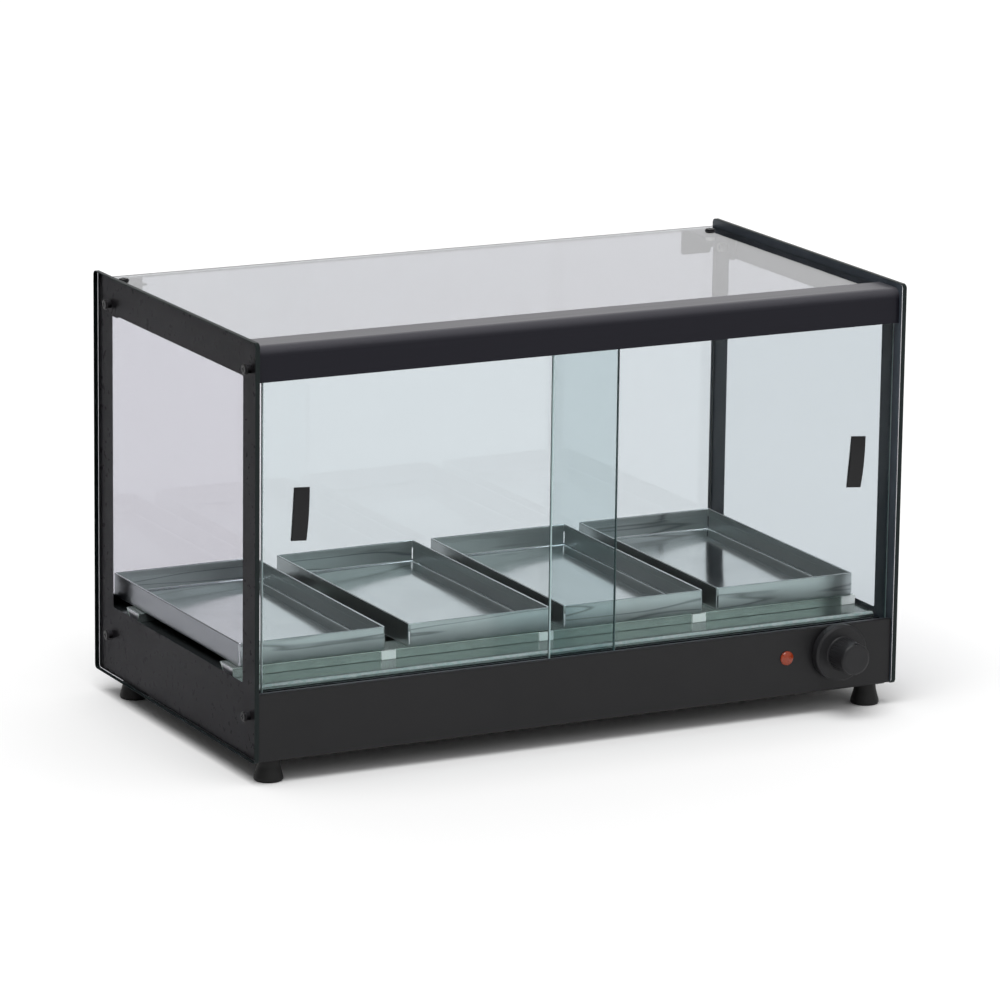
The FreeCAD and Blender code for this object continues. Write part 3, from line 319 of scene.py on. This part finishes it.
def make_materials():
    """Gives every CAD node its finish, and returns the finishes by name."""
    finish = {
        "black_enamel": plain("black_enamel", (0.033, 0.032, 0.0345), 0.3, depth=0, Specular_IOR_Level=0.06),
        # enamel_back is the enamel seen from inside the case, painted paler: painted light that lifts the
        # shade inside the case
        "enamel_back": plain("enamel_back", (0.05, 0.062, 0.078), 0.4, depth=0, Specular_IOR_Level=0.2),
        "black_powder_coat": powder_coat(),
        "black_anodised": anodised(),
        # Both the wall factors and the factor for the wavy lines are painted shade on the tray walls.
        "mirror_stainless": steel_sheet("mirror_stainless", (0.83, 0.87, 0.87), 0.1, 0.1, walls=(0.5, 0.72),
                                        wall_rough=0.28, line_shade=0.5),
        "satin_stainless": steel_sheet("satin_stainless", (0.85, 0.95, 0.88), 0.18, 0.15, metallic=0.82),
        "galvanised_steel": dull_steel("galvanised_steel", (0.55, 0.56, 0.57), 0.35),
        "plated_steel": dull_steel("plated_steel", (0.6, 0.58, 0.52), 0.28),
        "black_steel": plain("black_steel", (0.005, 0.005, 0.006), 0.3, Specular_IOR_Level=0.25),
        "element_sheath": dull_steel("element_sheath", (0.35, 0.32, 0.29), 0.45),
        "black_plastic": plain("black_plastic", (0.0085, 0.0085, 0.0095), 0.4, depth=0.00003,
                               Specular_IOR_Level=0.25),
        "dial_plastic": plain("dial_plastic", (0.0165, 0.0165, 0.018), 0.4, depth=0.00003,
                              Specular_IOR_Level=0.25),
        # painted light: the bushes' nylon is far paler than the nylon's own colour, to lift the shade round
        # the screws in the side panes
        "lifted_bush_nylon": plain("lifted_bush_nylon", (0.05, 0.049, 0.052), 0.5, depth=0, Specular_IOR_Level=0.1),
        "nylon": plain("nylon", (0.01, 0.01, 0.011), 0.45),
        "white_ceramic": plain("white_ceramic", (0.8, 0.78, 0.73), 0.3, spread=0.05),
        "amber_lens": plain("amber_lens", (0.26, 0.032, 0.008), 0.1, spread=0.15, depth=0),
        "black_rubber": plain("black_rubber", (0.006, 0.006, 0.006), 0.55, depth=0.00006,
                              Specular_IOR_Level=0.3),
        "copper": dull_steel("copper", (0.72, 0.4, 0.28), 0.3),
        "lead_insulation": plain("lead_insulation", (0.45, 0.05, 0.035), 0.5),
    }
    slots = {part["node"]: part["material_slot"] for part in frame["record"]["subparts"]}
    for name, node in NODES.items():
        node.data.materials.clear()
        node.data.materials.append(finish.get(slots[name], finish["black_plastic"]))
    NODES["thermostat_knob"].data.materials[0] = finish["dial_plastic"]
    NODES["glass_bushes"].data.materials[0] = finish["lifted_bush_nylon"]
    NODES["deck"].data.materials[0] = steel_sheet("deck_stainless", (0.26, 0.3, 0.29), 0.08, 0.15, lip=0.38)
    door = glass("door_glass", (0.773, 0.842, 0.848), ior=1.13)
    side = glass("side_glass", (0.725, 0.723, 0.755), ior=1.0)
    side_edge = ground_edge("side_edge", (0.012, 0.018, 0.018), level=0.12)
    shell_edge = ground_edge("shell_edge", (0.03, 0.04, 0.04))
    # the light colours are the painted highlights along the doors' edges
    for name, light, dark in (("left_door_glass", (0.75, 0.95, 0.93), (0.12, 0.2, 0.2)),
                              ("right_door_glass", (0.55, 0.72, 0.72), (0.02, 0.04, 0.045))):
        low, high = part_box(name)
        finish_pane(name, 1, door, edge_with_painted_highlight(f"{name}_edge", light, dark, (low.y + high.y) / 2))
    # painted light: an enamel colour paler than the panel's, so that the hole walls and the dark screw shanks
    # in them don't show as shade
    painted_bore_lift = plain("bore_painted_lift", (0.05, 0.049, 0.052), 0.5, depth=0, Specular_IOR_Level=0.1)
    for name in ("left_side_glass", "right_side_glass"):
        finish_pane(name, 0, side, side_edge)
        paint_bore_walls(name, painted_bore_lift)
    finish_pane("back_glass", 1, glass("back_glass", (0.791, 0.783, 0.813)), shell_edge)
    finish_pane("top_glass", 2, glass("top_glass", (0.5, 0.515, 0.55), shade=(0.8, 0.81, 0.83)), shell_edge)
    finish["tab_stainless"] = steel_sheet("tab_stainless", (0.95, 0.96, 0.94), 0.3, 0.1)
    polish_lugs(lug_steel())
    return finish


def polish_lugs(material):
    """The lugs on the front support stand proud of its face and catch the light."""
    mesh = NODES["front_tray_support"].data
    mesh.materials.append(material)
    face = min(v.co.y for v in mesh.vertices)
    for polygon in mesh.polygons:
        if polygon.center.y < face + LUG_FACE:
            polygon.material_index = 1


def lug_steel():
    """Bright steel for the flat lugs, with normals tilted up so that they catch light from above."""
    material = steel_sheet("lug_stainless", (1.0, 1.0, 0.97), 0.25, 0.1)
    tree = material.node_tree
    normal = tree.nodes.new("ShaderNodeTexCoord").outputs["Normal"]
    tilted = tree.nodes.new("ShaderNodeVectorMath")
    tilted.operation = "ADD"
    tree.links.new(normal, tilted.inputs[0])
    tilted.inputs[1].default_value = LUG_TILT
    unit = tree.nodes.new("ShaderNodeVectorMath")
    unit.operation = "NORMALIZE"
    tree.links.new(tilted.outputs[0], unit.inputs[0])
    bump = next(node for node in tree.nodes if node.type == "BUMP")
    tree.links.new(unit.outputs[0], bump.inputs["Normal"])
    return material


# ---- pieces that stand for CAD nodes ----------------------------------------------------
FUSED = 0.03 * MM
EDGE_MARGIN = 0.4 * MM
STRETCHED = 10 * MM


def fused_borders(finish):
    """The enamel is fired into the glass, so its outer face lies just inside the pane. It is printed
    right up to the top edge. Its inside face is painted paler, painted light that lifts the shade inside the
    case."""
    for side in ("left", "right"):
        node = f"{side}_enamel_border"
        border = NODES[node].copy()
        border.data = NODES[node].data.copy()
        border.name = f"{side}_printed_border"
        border.data.name = border.name
        bpy.context.collection.objects.link(border)
        outer = max(abs(v.co.x) for v in border.data.vertices)
        top = max(v.co.z for v in border.data.vertices)
        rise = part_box(f"{side}_side_glass")[1].z - EDGE_MARGIN - top
        band_foot = top - STRETCHED
        for vertex in border.data.vertices:
            if abs(vertex.co.x) > outer - FUSED:
                vertex.co.x += math.copysign(FUSED, vertex.co.x)
            if vertex.co.z > band_foot:
                vertex.co.z += rise * (vertex.co.z - band_foot) / STRETCHED
        border.data.materials[0] = finish["black_enamel"]
        # the faces that look into the case get the paler enamel, painted light
        border.data.materials.append(finish["enamel_back"])
        for polygon in border.data.polygons:
            if polygon.normal.x * polygon.center.x < 0:
                polygon.material_index = 1
        border.parent = None
        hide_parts(node)
        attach(border, "case")


def add_piece(name, points, faces, material, body, replaced=(), smooth_to=35):
    """Mesh piece in the case frame that rides a body and may stand for CAD nodes."""
    mesh = bpy.data.meshes.new(name)
    mesh.from_pydata([tuple(p) for p in points], [], faces)
    shell = bmesh.new()
    shell.from_mesh(mesh)
    bmesh.ops.recalc_face_normals(shell, faces=shell.faces)
    shell.to_mesh(mesh)
    shell.free()
    mesh.shade_smooth()
    mesh.set_sharp_from_angle(angle=math.radians(smooth_to))
    mesh.materials.append(material)
    piece = bpy.data.objects.new(name, mesh)
    bpy.context.collection.objects.link(piece)
    for node in replaced:
        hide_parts(node)
    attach(piece, body)
    return piece


RING_POINTS = 8
LEAST_CLIP = 0.3 * MM


def ring(half_x, half_y, z, inset, corner):
    """Eight points of a rectangle with clipped corners, two to a corner."""
    x, y = half_x - inset, half_y - inset
    clip = max(corner - inset, LEAST_CLIP)
    return [Vector((sx * (x - clip * cx), sy * (y - clip * (1 - cx)), z))
            for sx, sy, order in ((1, 1, (1, 0)), (-1, 1, (0, 1)), (-1, -1, (1, 0)), (1, -1, (0, 1)))
            for cx in reversed(order)]


# ---- trays: sheet pans with hemmed rims and open corner slits -------------------------------
TRAY_TURNS = {"food_tray_1": 0.0, "food_tray_2": 0.35, "food_tray_3": -0.55, "food_tray_4": -0.5}
TRAY_SIZE = (132 * MM, 257 * MM, 20 * MM)
TRAY_WALL = 0.8 * MM
TRAY_HEM = 1.6 * MM
TRAY_HEM_DEPTH = 6.5 * MM
TRAY_BEND = 1.2 * MM
TRAY_FLOOR_BEND = 1.9 * MM
TRAY_SLIT = (2.9 * MM, 13.2 * MM)
TRAY_CORNER = 1.5 * MM
TRAY_STEP = 0.2 * MM


def tray_profile():
    """(inset, height) stations from the underside over the rim to the floor, and the slit's stations."""
    height = TRAY_SIZE[2]
    quarter = [math.radians(22.5 * k) for k in range(5)]
    stations = [(TRAY_BEND * (1 - math.sin(a)), TRAY_BEND * (1 - math.cos(a))) for a in quarter]
    outer_slit = (len(stations), len(stations) + 1)
    stations += [(0.0, TRAY_SLIT[0]), (0.0, TRAY_SLIT[1])]
    half = TRAY_HEM / 2
    stations += [(half * (1 - math.cos(a)), height - half + half * math.sin(a))
                 for a in (math.radians(30 * k) for k in range(7))]
    hem_end = height - TRAY_HEM_DEPTH
    stations += [(TRAY_HEM, hem_end + TRAY_STEP), (TRAY_HEM - TRAY_STEP, hem_end), (TRAY_WALL, hem_end)]
    inner_slit = (len(stations), len(stations) + 1)
    stations += [(TRAY_WALL, TRAY_SLIT[1]), (TRAY_WALL, TRAY_SLIT[0])]
    bend, bend_top = TRAY_FLOOR_BEND, TRAY_SLIT[0] - TRAY_STEP
    stations += [(TRAY_WALL + bend * (1 - math.cos(a)), bend_top - bend * math.sin(a)) for a in quarter]
    return stations, outer_slit, inner_slit


def build_tray(name, material):
    """One tray, set down a little askew, that stands for its CAD solid."""
    low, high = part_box(name)
    centre = Vector(((low.x + high.x) / 2, (low.y + high.y) / 2, low.z))
    turn = Matrix.Translation(centre) @ Matrix.Rotation(math.radians(TRAY_TURNS[name]), 4, "Z")
    stations, outer_slit, inner_slit = tray_profile()
    half_x, half_y = TRAY_SIZE[0] / 2, TRAY_SIZE[1] / 2
    points = []
    for inset, z in stations:
        points += [turn @ p for p in ring(half_x, half_y, z, inset, TRAY_CORNER)]
    faces = [tuple(range(RING_POINTS))]
    for k in range(len(stations) - 1):
        for j in range(RING_POINTS):
            corner_face = j % 2 == 0
            if corner_face and (k, k + 1) in (outer_slit, inner_slit):
                continue
            here, there = RING_POINTS * k, RING_POINTS * (k + 1)
            after = (j + 1) % RING_POINTS
            faces.append((here + j, here + after, there + after, there + j))
    out_low, out_high = (RING_POINTS * k for k in outer_slit)
    in_high, in_low = (RING_POINTS * k for k in inner_slit)
    for j in range(0, RING_POINTS, 2):
        for edge in (j, j + 1):
            faces.append((out_low + edge, out_high + edge, in_high + edge, in_low + edge))
        for outer, inner in ((out_low, in_low), (out_high, in_high)):
            faces.append((outer + j, outer + j + 1, inner + j + 1, inner + j))
    last = RING_POINTS * (len(stations) - 1)
    faces.append(tuple(range(last, last + RING_POINTS)))
    add_piece(f"{name}_pan", points, faces, material, name, (name,))


# ---- sheared edges ---------------------------------------------------------------------------
SOFT_EDGE = 0.5 * MM
WELD_DISTANCE = 0.01 * MM


def soften(name):
    """Rounds the sheared edges of a CAD part a little."""
    node = NODES[name]
    weld = node.modifiers.new("weld", "WELD")
    weld.merge_threshold = WELD_DISTANCE
    bevel = node.modifiers.new("edges", "BEVEL")
    bevel.width = SOFT_EDGE
    bevel.segments = 2
    bevel.limit_method = "ANGLE"
    bevel.angle_limit = math.radians(40)


# ---- pilot lamp: a cut lens ---------------------------------------------------------------------
LENS_SEGMENTS = 16
LENS_RINGS = ((4.6, 0.0), (4.6, 4.0), (6.1, 4.0), (6.1, 5.0), (5.4, 5.7))     # radius, distance from the back
LENS_STAR = ((3.9, 6.2), (2.5, 6.6))      # the cut star's points and hollows
LENS_TABLE = (1.3, 6.8)


def build_lamp_lens(material):
    """Flanged lens with an eight-pointed star cut into its crown."""
    low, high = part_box("pilot_lamp_lens")
    x, z = (low.x + high.x) / 2, (low.z + high.z) / 2
    rings = [[ring_size] * LENS_SEGMENTS for ring_size in LENS_RINGS]
    rings.append([LENS_STAR[k % 2] for k in range(LENS_SEGMENTS)])
    rings.append([LENS_TABLE] * LENS_SEGMENTS)
    points = []
    for sizes in rings:
        for k, (radius, out) in enumerate(sizes):
            angle = 2 * math.pi * k / LENS_SEGMENTS
            points.append(Vector((x + radius * MM * math.sin(angle), high.y - out * MM,
                                  z + radius * MM * math.cos(angle))))
    faces = [tuple(range(LENS_SEGMENTS))]
    for level in range(len(rings) - 1):
        for k in range(LENS_SEGMENTS):
            here, beside = level * LENS_SEGMENTS + k, level * LENS_SEGMENTS + (k + 1) % LENS_SEGMENTS
            above, above_beside = here + LENS_SEGMENTS, beside + LENS_SEGMENTS
            if k % 2:
                faces += [(here, beside, above), (beside, above_beside, above)]
            else:
                faces += [(here, beside, above_beside), (here, above_beside, above)]
    last = (len(rings) - 1) * LENS_SEGMENTS
    faces.append(tuple(range(last, last + LENS_SEGMENTS)))
    add_piece("pilot_lamp_cut_lens", points, faces, material, "case", ("pilot_lamp_lens",), smooth_to=4)


# ---- tray supports: tabs folded across their ends ------------------------------------------------
TAB_THICKNESS = 0.7 * MM
TAB_RECESS = 0.15 * MM
TAB_MARGIN = 0.4 * MM


def close_support(name, material):
    """Each end of a support is closed by a tab, with the outline of the support's section."""
    low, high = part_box(name)
    section = [v.co for v in NODES[name].data.vertices if v.co.x < low.x + TAB_MARGIN]
    foot = [p.y for p in section if p.z < low.z + TAB_MARGIN]
    crown = [p.y for p in section if p.z > high.z - TAB_MARGIN]
    bottom, top = low.z + TAB_MARGIN, high.z - TAB_MARGIN
    outline = [(min(foot) + TAB_MARGIN, bottom), (max(foot) - TAB_MARGIN, bottom),
               (max(crown) - TAB_MARGIN, top), (min(crown) + TAB_MARGIN, top)]
    for side, end, inward in (("left", low.x, 1), ("right", high.x, -1)):
        outer = end + inward * TAB_RECESS
        points = [(x, y, z) for x in (outer, outer + inward * TAB_THICKNESS) for y, z in outline]
        faces = [(0, 1, 2, 3), (7, 6, 5, 4)] + [(k, (k + 1) % 4, 4 + (k + 1) % 4, 4 + k) for k in range(4)]
        tab = add_piece(f"{name}_{side}_tab", points, faces, material, "case")


# ---- studio ------------------------------------------------------------------------------
BACKDROP = Vector((math.sin(CAMERA_YAW) * 0.98, math.cos(CAMERA_YAW) * 0.98, 0.2))
DARK_SIDE = Vector((-0.8, 0.6, 0.1))
FRONT_PANEL = Vector((0.25, -0.66, 0.7))
# direction, the cosines where the lobe starts and is full, and its strength outside and inside
LOBES = ((BACKDROP, 0.5, 0.92, 0.32, 1.0),
         (DARK_SIDE, 0.35, 0.95, 1.0, 0.5),
         (FRONT_PANEL, 0.55, 0.95, 0.0, 0.55))
FLOOR_SIZE = 40.0
OVERHEAD_STRENGTH = 2.3
OVERHEAD_SPREAD = math.radians(45)
OVERHEAD_DIRECTION = Vector((0.25, 0.12, -1.0))


def make_world():
    """A pale backdrop behind the case, a dim room elsewhere, a darker wall behind on the left and a
    broad soft light above the front."""
    world = bpy.data.worlds.new("studio")
    bpy.context.scene.world = world
    world.use_nodes = True
    tree = world.node_tree
    direction = tree.nodes.new("ShaderNodeTexCoord").outputs["Generated"]
    lobes = []
    for towards, start, end, outside, inside in LOBES:
        dot = tree.nodes.new("ShaderNodeVectorMath")
        dot.operation = "DOT_PRODUCT"
        tree.links.new(direction, dot.inputs[0])
        dot.inputs[1].default_value = towards
        ramp = tree.nodes.new("ShaderNodeMapRange")
        ramp.interpolation_type = "SMOOTHSTEP"
        tree.links.new(dot.outputs["Value"], ramp.inputs["Value"])
        for name, value in (("From Min", start), ("From Max", end), ("To Min", outside), ("To Max", inside)):
            ramp.inputs[name].default_value = value
        lobes.append(ramp.outputs["Result"])
    room = tree.nodes.new("ShaderNodeMath")
    room.operation = "MULTIPLY_ADD"
    for lobe, socket in zip(lobes, room.inputs):
        tree.links.new(lobe, socket)
    tree.links.new(room.outputs[0], tree.nodes["Background"].inputs["Strength"])
    tree.nodes["Background"].inputs["Color"].default_value = (1.0, 1.0, 1.0, 1)


def make_studio():
    """World, floor and the soft overhead lamp."""
    make_world()
    bpy.ops.mesh.primitive_plane_add(size=FLOOR_SIZE, location=(0, 0, 0))
    floor = bpy.context.object
    floor.name = "floor"
    shader = Shader("floor_paper", Roughness=0.9, Specular_IOR_Level=0.1)
    shader.link(shader.tone(shader.noise(0.4), (0.88, 0.88, 0.88), (0.9, 0.9, 0.9)), "Base Color")
    floor.data.materials.append(shader.material)
    light = bpy.data.lights.new("overhead", "SUN")
    light.energy = OVERHEAD_STRENGTH
    light.angle = OVERHEAD_SPREAD
    lamp = bpy.data.objects.new("overhead", light)
    bpy.context.collection.objects.link(lamp)
    lamp.rotation_mode = "QUATERNION"
    lamp.rotation_quaternion = OVERHEAD_DIRECTION.to_track_quat("-Z", "Y")
    scene = bpy.context.scene
    scene.view_settings.view_transform = "Standard"
    scene.cycles.caustics_reflective = False
    scene.cycles.caustics_refractive = False


make_camera()
make_studio()
finishes = make_materials()
fused_borders(finishes)
for tray_name in TRAY_TURNS:
    build_tray(tray_name, finishes["mirror_stainless"])
build_lamp_lens(finishes["amber_lens"])
for support in ("front_tray_support", "rear_tray_support"):
    close_support(support, finishes["tab_stainless"])
    soften(support)
